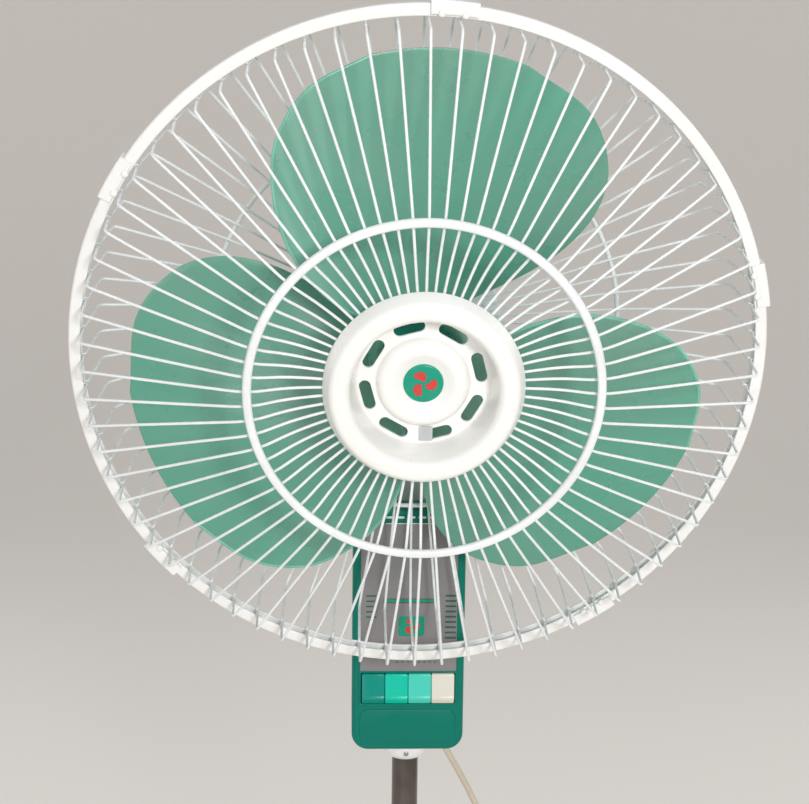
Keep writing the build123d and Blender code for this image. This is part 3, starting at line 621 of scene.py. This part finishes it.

# ---------------------------------------------------------------- band and clips
# A white plastic channel sprung over both edge rings, held shut by five snap clips.
# Each clip wraps the channel and has two studs on its front edge.

RIM = [(225, -5), (232, -5), (233, -4), (233, 4), (232, 5), (225, 5), (225, 3.2), (231.2, 3.2),
       (231.2, -3.2), (225, -3.2)]
band = make_piece("band", *turned(rounded(RIM, 0.8), 240), white_plastic, FAN_MM)
ride_as(band, "head", "white_plastic", "guard_ring")
CLIP = [(226.3, -7), (234.4, -7), (235.2, -6), (235.2, 6), (234.4, 7), (226.3, 7), (226.3, 5.05),
        (233.05, 5.05), (233.05, -5.05), (226.3, -5.05)]
CLIP_ARC = 7.4
STUD_R = 227.0
STUD = [(0, 5.1), (2.4, 5.1), (2.4, 7.6), (1.6, 8.3), (0, 8.5)]
clip_shapes = [turned(rounded(CLIP, 0.7, 3), 10, arc=(-CLIP_ARC / 2, CLIP_ARC / 2))]
for share in (0.27, 0.77):
    at = radians(CLIP_ARC * (share - 0.5))
    stud_verts, stud_faces = turned(rounded(STUD, 0.6, 3), 20)
    along, across = STUD_R * cos(at), STUD_R * sin(at)
    clip_shapes.append(([(x + along, y + across, z) for x, y, z in stud_verts], stud_faces))
clip_verts, clip_faces = [], []
for some_verts, some_faces in clip_shapes:
    clip_faces += [tuple(len(clip_verts) + i for i in face) for face in some_faces]
    clip_verts += list(some_verts)
CLIP_ANGLES = (13.5, 86.0, 148.5, 220.0, 304.0)
clips = [
    set_round(f"clip_{number}", clip_verts, clip_faces, white_plastic, 1, first=angle)
    for number, angle in enumerate(CLIP_ANGLES)
]
bpy.ops.object.select_all(action="DESELECT")
for clip in clips:
    clip.select_set(True)
bpy.context.view_layer.objects.active = clips[0]
bpy.ops.object.join()
clips[0].name = "band_clips"
ride_as(clips[0], "head", "white_plastic", "guard_clips")

# ---------------------------------------------------------------- hub plate, badge and tab
# The round plate is one moulding in warm white plastic: a rounded band, a deep well with eight
# slots in its floor, and a dished boss that holds the glossy green badge. It clips to the wires.

PLATE_FRONT = [
    (0, 47.9), (14, 47.9), (18.5, 50.6), (20.5, 51.6), (24.5, 51.8), (27.5, 50.6), (29.6, 48), (30.4, 45.2),
    (42.8, 45.2), (43.8, 48.2), (46.0, 60), (47.4, 67.2), (49.6, 69.9), (54, 70.6), (58.4, 69.9),
    (60.4, 68),
    (63.6, 61), (64.5, 58.6), (64.3, 57.8),
]
PLATE_BACK = [
    (61.7, 57.8), (61.2, 59.5), (58.6, 66.4), (57.2, 67.8), (50.6, 68.4), (49.6, 66.8), (48.6, 60),
    (47.5, 50), (46.4, 43.2), (28.6, 43.2), (27.8, 46.8), (25.6, 49), (23.8, 49.8), (21, 49.6), (18.8, 48.2),
    (14.6, 45.9),
    (0, 45.9),
]
hub_plate = make_piece("hub_plate", *turned(rounded(PLATE_FRONT + PLATE_BACK, 2.2, 4), 144), cream_plastic)


def prism(outline, low, high):
    """A straight-sided solid on a closed outline of (x, y) points."""
    count = len(outline)
    verts = [(x, y, low) for x, y in outline] + [(x, y, high) for x, y in outline]
    faces = [tuple(reversed(range(count))), tuple(range(count, 2 * count))]
    faces += [(k, (k + 1) % count, count + (k + 1) % count, count + k) for k in range(count)]
    return verts, faces


SLOT_R, SLOT_LONG, SLOT_WIDE = 37.0, 20.5, 7.7
slot_outline = []
for end, start in ((1, 0), (-1, pi)):
    for k in range(13):
        turn = start + pi * k / 12
        out_by = SLOT_R + SLOT_WIDE / 2 * cos(turn)
        slot_outline.append((out_by, end * (SLOT_LONG - SLOT_WIDE) / 2 + SLOT_WIDE / 2 * sin(turn)))
slot_shape = prism(slot_outline, 40, 48)
unplaced = Matrix.Identity(4)
cutter = set_round("slot_cutter", *slot_shape, cream_plastic, 8, first=15.0, place=unplaced)
cut = hub_plate.modifiers.new("slots", "BOOLEAN")
cut.object = cutter
cut.operation = "DIFFERENCE"
cut.solver = "EXACT"
hub_plate = plain_mesh(hub_plate, "hub_plate")
bpy.data.objects.remove(cutter)
hub_plate.data.transform(FAN_MM)
hub_plate.data.set_sharp_from_angle(angle=radians(38))
ride_as(hub_plate, "head", "cream_plastic", "hub_disc")

BADGE = [(0, 47.9), (12.9, 47.9), (12.9, 49.1), (12.1, 49.7), (0, 49.75)]
badge = make_piece("badge", *turned(rounded(BADGE, 0.5), 72), badge_green, FAN_MM)
ride_as(badge, "head", "emblem_green", "hub_emblem")
badge_red = moulded("badge_red", (0.60, 0.035, 0.03), (0.50, 0.03, 0.025), rough=0.22, Coat_Weight=0.6)
petal = []
for k in range(28):
    turn = 2 * pi * k / 28
    reach = 5.0 + 3.9 * cos(turn)
    sweep_round = 0.62 * sin(turn) + 0.5 * (reach - 2) / 6
    petal.append((reach * cos(sweep_round), reach * sin(sweep_round)))
badge_mark = set_round("badge_mark", *prism(petal, 49.6, 50.05), badge_red, 3, first=90.0)
ride_as(badge_mark, "head", "emblem_green")

TAB = [(-1.8, -41), (6.8, -41), (6.8, -31), (-1.8, -31)]
tab_shapes = [prism(rounded(TAB, 1.2, 4, True), 45.2, 46.8)]
for x in (0.4, 2.6, 4.8):
    rib = [(x, -40.2), (x + 0.8, -40.2), (x + 0.8, -31.6), (x, -31.6)]
    tab_shapes.append(prism(rounded(rib, 0.3, 2, True), 46.7, 47.3))
tab = joined("hub_tab_clip", tab_shapes, clear_tab)
ride_as(tab, "head", "smoke_tab", "hub_tab")

# ---------------------------------------------------------------- blades
# Three broad, slightly cupped blades and a cup-shaped hub, moulded in one piece of clear-tinted
# sea-green plastic 2.4 mm thick. The hub pushes on to the shaft and a cross pin turns it.

BLADE_R = 203.0
LEADING = [(33, -40), (60, -51), (90, -54), (120, -53), (150, -49), (175, -42), (194, -31), (202, -16)]
TRAILING = [(33, 36), (60, 55), (90, 55), (120, 50.5), (150, 43.5), (175, 36), (193, 26), (202, 13)]
BLADE_ROWS, BLADE_COLUMNS = 44, 40


def smooth_edge(points, count):
    """Evenly numbered points on a smooth curve through (radius, angle) points."""
    points = np.array([(r * cos(radians(a)), r * sin(radians(a))) for r, a in points])
    ends = np.vstack([2 * points[0] - points[1], points, 2 * points[-1] - points[-2]])
    out = []
    for t in np.linspace(0, len(points) - 1, count):
        i = min(int(t), len(points) - 2)
        u = t - i
        a, b, c, d = ends[i:i + 4]
        bow, twist = 2 * a - 5 * b + 4 * c - d, 3 * b - a - 3 * c + d
        p = 0.5 * (2 * b + (c - a) * u + bow * u ** 2 + twist * u ** 3)
        out.append((hypot(*p), degrees(atan2(p[1], p[0]))))
    return out


def blade_height(radius, turn):
    share = turn / 48.0
    return -15.0 + 31.0 * radians(turn) - 6.0 * (radius / BLADE_R) * (1 - share * share) + 3.0


lead, trail = smooth_edge(LEADING, BLADE_ROWS), smooth_edge(TRAILING, BLADE_ROWS)
blade_verts, blade_faces = [], []
for row in range(BLADE_ROWS):
    bulge = 1.0 * (row / (BLADE_ROWS - 1)) ** 8
    for column in range(BLADE_COLUMNS):
        u = column / (BLADE_COLUMNS - 1)
        radius = (1 - u) * lead[row][0] + u * trail[row][0] + bulge * (1 - (2 * u - 1) ** 2)
        turn = (1 - u) * lead[row][1] + u * trail[row][1]
        height = blade_height(radius, turn)
        blade_verts.append((radius * cos(radians(turn)), radius * sin(radians(turn)), height))
for row in range(BLADE_ROWS - 1):
    for column in range(BLADE_COLUMNS - 1):
        a = row * BLADE_COLUMNS + column
        blade_faces.append((a, a + 1, a + BLADE_COLUMNS + 1, a + BLADE_COLUMNS))
one_blade = make_piece("one_blade", blade_verts, blade_faces, blade_plastic)
wall = one_blade.modifiers.new("wall", "SOLIDIFY")
wall.thickness = 2.4
wall.offset = 0.0
wall.use_even_offset = True
edge = one_blade.modifiers.new("edge", "BEVEL")
edge.width = 0.9
edge.segments = 3
edge.limit_method = "ANGLE"
edge.angle_limit = radians(50)
one_blade = plain_mesh(one_blade, "one_blade")
one_verts = [tuple(v.co) for v in one_blade.data.vertices]
one_faces = [tuple(p.vertices) for p in one_blade.data.polygons]
bpy.data.objects.remove(one_blade)
blades = set_round("blades", one_verts, one_faces, blade_plastic, 3, first=86.5)
HUB = [(4.1, 0), (4.1, -3.5), (28, -3.5), (32.5, -8), (32.5, -42), (34, -42), (36, -38), (35, -8), (30, 0)]
# The lighter green tube along each blade's trailing edge is painted highlight: its colour stands in for the
# gleam along that edge.
lip_highlight_plastic = moulded("lip_highlight_plastic", (0.20, 0.52, 0.40), (0.16, 0.44, 0.34), rough=0.26,
                      Subsurface_Weight=0.2,
                      Subsurface_Scale=0.004)
lip_line = [(r * cos(radians(a)), r * sin(radians(a)), blade_height(r, a) + 0.5) for r, a in trail]
blade_highlight_lips = set_round("blade_highlight_lips", *tube(lip_line, 1.2, 10), lip_highlight_plastic, 3, first=86.5)
ride_as(blade_highlight_lips, "rotor", "teal_blade")
blade_hub = make_piece("blade_hub", *turned(rounded(HUB, 1.5), 96), blade_plastic, FAN_MM)
ride_as(blades, "rotor", "teal_blade", "fan_blade")
ride_as(blade_hub, "rotor", "teal_blade")

# ---------------------------------------------------------------- control box trim, panel print and keys
# The box front is moulded teal plastic with a raised key frame and a raised lower plate.
# The silver film carries fine printed lines, and the push keys are glossy two-shot caps.

KEY_PITCH = 18.0
UPRIGHT = Matrix(((1, 0, 0, 0), (0, 0, -1, 0), (0, 1, 0, 0), (0, 0, 0, 1)))
BOX_MM = MM @ UPRIGHT      # outlines are drawn across the box front: x, height, and how far forward


def rounded_rectangle(x, z, corner, steps=6):
    outline = []
    for cx, cz, start in ((x[1], z[1], 0), (x[0], z[1], 90), (x[0], z[0], 180), (x[1], z[0], 270)):
        cx += -corner if start in (0, 270) else corner
        cz += -corner if start in (0, 90) else corner
        for k in range(steps + 1):
            turn = radians(start + 90 * k / steps)
            outline.append((cx + corner * cos(turn), cz + corner * sin(turn)))
    return outline


def pad(x, z, corner, low, high, soft):
    """A raised plate with a softened front edge."""
    rings = [(0.0, low), (0.0, high - soft), (soft * 0.3, high - soft * 0.3), (soft, high)]
    verts, faces = [], []
    for inset, forward_by in rings:
        across, upright = (x[0] + inset, x[1] - inset), (z[0] + inset, z[1] - inset)
        outline = rounded_rectangle(across, upright, max(corner - inset, 0.1))
        count = len(outline)
        verts += [(px, pz, forward_by) for px, pz in outline]
    for row in range(len(rings) - 1):
        for k in range(count):
            m = (k + 1) % count
            faces.append((row * count + k, row * count + m, (row + 1) * count + m, (row + 1) * count + k))
    faces.append(tuple(reversed(range(count))))
    faces.append(tuple((len(rings) - 1) * count + k for k in range(count)))
    return verts, faces


def frame_round(outer, inner, corner, low, high, soft):
    """A raised border round an opening."""
    rings = [(outer, low), (outer, high - soft)]
    (x0, x1), (z0, z1) = outer
    rings.append((((x0 + soft, x1 - soft), (z0 + soft, z1 - soft)), high))
    (x0, x1), (z0, z1) = inner
    rings.append((((x0 - soft, x1 + soft), (z0 - soft, z1 + soft)), high))
    rings += [(inner, high - soft), (inner, low)]
    verts, faces = [], []
    for (x, z), forward_by in rings:
        outline = rounded_rectangle(x, z, corner)
        count = len(outline)
        verts += [(px, pz, forward_by) for px, pz in outline]
    for row in range(len(rings)):
        after = (row + 1) % len(rings)
        for k in range(count):
            m = (k + 1) % count
            faces.append((row * count + k, row * count + m, after * count + m, after * count + k))
    return verts, faces


trim = joined("box_trim", [
    frame_round(((-38.3, 38.3), (760.6, 789.0)), ((-36.5, 36.5), (762.5, 787.5)), 1.2, 37.9, 39.0, 0.4),
    pad((-37.3, 37.3), (731.5, 757.6), 7.0, 37.9, 38.8, 0.6),
], teal_plastic, BOX_MM)
ride_as(trim, "mast", "teal_box")
# The five white ribs and the thin white line below them on the top edge of the box are painted highlight:
# their white stands in for the gleam on small ribs of the teal box.
highlight_rib_shapes = [pad((x, x + 6.0), (910.2, 912.0), 0.8, 37.0, 38.4, 0.4) for x in (-18.5, -10.2, -1.9, 6.4, 14.7)]
highlight_rib_shapes.append(pad((-18.5, 20.7), (905.9, 906.6), 0.3, 37.0, 38.5, 0.2))
top_highlight_ribs = joined("box_top_highlight_ribs", highlight_rib_shapes, white_plastic, BOX_MM)
ride_as(top_highlight_ribs, "mast", "white_plastic")

ink = moulded("panel_ink", (0.008, 0.075, 0.060), (0.012, 0.095, 0.075), rough=0.5)
print_lines = []
for number in range(9):
    z = 815.0 + 4.2 * number
    print_lines.append(prism(rounded_rectangle((28.0, 36.6), (z, z + 1.5), 0.3, 1), 38.45, 38.56))
    if number > 3:
        print_lines.append(prism(rounded_rectangle((-33.0, -25.0), (z, z + 1.1), 0.3, 1), 38.45, 38.56))
for z in (843.4, 846.4):
    print_lines.append(prism(rounded_rectangle((-20, 23), (z, z + 0.7), 0.2, 1), 38.45, 38.56))
for number in range(8):
    x = -9.6 + 4.2 * number
    print_lines.append(prism(rounded_rectangle((x, x + 2.8), (798.6, 799.5), 0.3, 1), 38.45, 38.56))
    print_lines.append(prism(rounded_rectangle((x, x + 2.0), (795.8, 796.6), 0.3, 1), 38.45, 38.56))
panel_print = joined("panel_print", print_lines, ink, BOX_MM)
ride_as(panel_print, "mast", "panel_silver")
stripe = joined("panel_stripe", [
    prism(rounded_rectangle((-20, 23), (844.3, 846.2), 0.3, 2), 38.45, 38.55),
    prism(rounded_rectangle((-8, 12), (817, 833), 2.0, 4), 38.45, 38.55),
], badge_green, BOX_MM)
ride_as(stripe, "mast", "panel_silver")
mark_shapes = []
for lean in (90, 210, 330):
    c, d = 0.72 * cos(radians(lean)), 0.72 * sin(radians(lean))
    mark_shapes.append(prism([(2 + c * x - d * y, 825 + d * x + c * y) for x, y in petal], 38.5, 38.62))
panel_mark = joined("panel_mark", mark_shapes, badge_red, BOX_MM)
ride_as(panel_mark, "mast", "panel_silver")


def key_cap(x):
    """One push key: a face that leans out to a ridge, then a lip that turns back under it."""
    side = [(31.5, 787.0), (39.2, 787.0), (39.9, 786.2), (41.8, 769.4), (42.4, 768.3), (41.9, 767.0),
            (39.6, 763.6), (39.0, 763.0), (31.5, 763.0)]
    side = rounded(side, 0.9, 3, True)
    middle_f = sum(f for f, z in side) / len(side)
    middle_z = sum(z for f, z in side) / len(side)
    rows = []
    for across, inset in ((-8.8, 0.9), (-8.55, 0.25), (-7.9, 0.0), (7.9, 0.0), (8.55, 0.25), (8.8, 0.9)):
        row = []
        for f, z in side:
            away = Vector((f - middle_f, z - middle_z))
            pull = 1 - inset / max(away.length, 1)
            row.append((x + across, middle_z + away.y * pull, middle_f + away.x * pull))
        rows.append(row)
    count = len(side)
    verts = [v for row in rows for v in row]
    faces = []
    for r in range(len(rows) - 1):
        for k in range(count):
            m = (k + 1) % count
            faces.append((r * count + k, r * count + m, (r + 1) * count + m, (r + 1) * count + k))
    faces.append(tuple(reversed(range(count))))
    faces.append(tuple((len(rows) - 1) * count + k for k in range(count)))
    return verts, faces


KEYS = (("key_off", "key_dark", key_dark), ("key_low", "key_turquoise", key_turquoise),
        ("key_medium", "key_aqua", key_aqua), ("key_high", "key_cream", key_cream))
for number, (name, slot, finish) in enumerate(KEYS):
    x = (number - 1.5) * KEY_PITCH
    stem = tube([(x, 776, 32.0), (x, 776, 18.0)], 2.5, 20)
    cap = joined(name + "_cap", [key_cap(x), stem], finish, BOX_MM)
    ride_as(cap, name, slot, name)

# ---------------------------------------------------------------- collar
# A milky plastic cup that seats the box on the sliding tube, with a set screw at the front.

COLLAR = [(10.6, 705.5), (13.5, 705.5), (17.0, 708.5), (19.4, 712.5), (20.6, 717), (20.8, 723.9),
          (10.6, 723.9)]
collar = make_piece("milky_collar", *turned(rounded(COLLAR, 1.4), 72), collar_plastic, MM)
ride_as(collar, "mast", "clear_white", "box_collar")
SCREW_HEAD = [(0, 18.4), (2.0, 18.4), (2.0, 20.0), (1.5, 20.4), (0.8, 20.4), (0.6, 19.7), (0, 19.7)]
screw_place = MM @ Matrix.Translation((0, 0, 713)) @ Matrix.Rotation(radians(90), 4, "X")
screw_shape = turned(rounded(SCREW_HEAD, 0.2, 2), 24)
collar_screw = make_piece("collar_screw", *screw_shape, plated_steel, screw_place)
ride_as(collar_screw, "mast", "steel")

# ---------------------------------------------------------------- pole, lock ring and base
# A chromed tube slides in a painted one. A ribbed ring locks it. The base is a moulded dome on a
# rubber ring, over an iron weight.

INNER_TUBE = [(9.5, 250), (10.5, 250), (10.5, 930), (9.5, 930)]
inner_tube = make_piece("sliding_tube", *turned(rounded(INNER_TUBE, 0.3, 2), 72), tube_chrome_painted_reflection, MM)
ride_as(inner_tube, "mast", "chrome_tube", "inner_tube")
OUTER_TUBE = [(12.3, 26.3), (13.5, 26.3), (13.5, 520), (12.3, 520)]
outer_tube = make_piece("standing_tube", *turned(rounded(OUTER_TUBE, 0.4, 2), 72), tube_paint, MM)
ride_as(outer_tube, "base", "tube_paint", "outer_tube")
BASE = [(197, 3.2), (200, 3.2), (200, 12), (190, 19), (110, 31), (34, 42), (30, 62), (19.3, 62),
        (19.3, 59), (27, 59), (31, 39.2), (109.5, 28), (188.5, 16), (197, 11)]
base = make_piece("base_dome", *turned(rounded(BASE, 7.0, 6), 180), teal_plastic, MM)
ride_as(base, "base", "teal_box", "base_shell")
FOOT = [(186, 0), (199, 0), (199, 3), (196.5, 3), (196.5, 6), (189, 6), (186, 3)]
foot = make_piece("foot_rubber", *turned(rounded(FOOT, 0.6, 2), 180), black_rubber, MM)
ride_as(foot, "base", "rubber", "foot_ring")
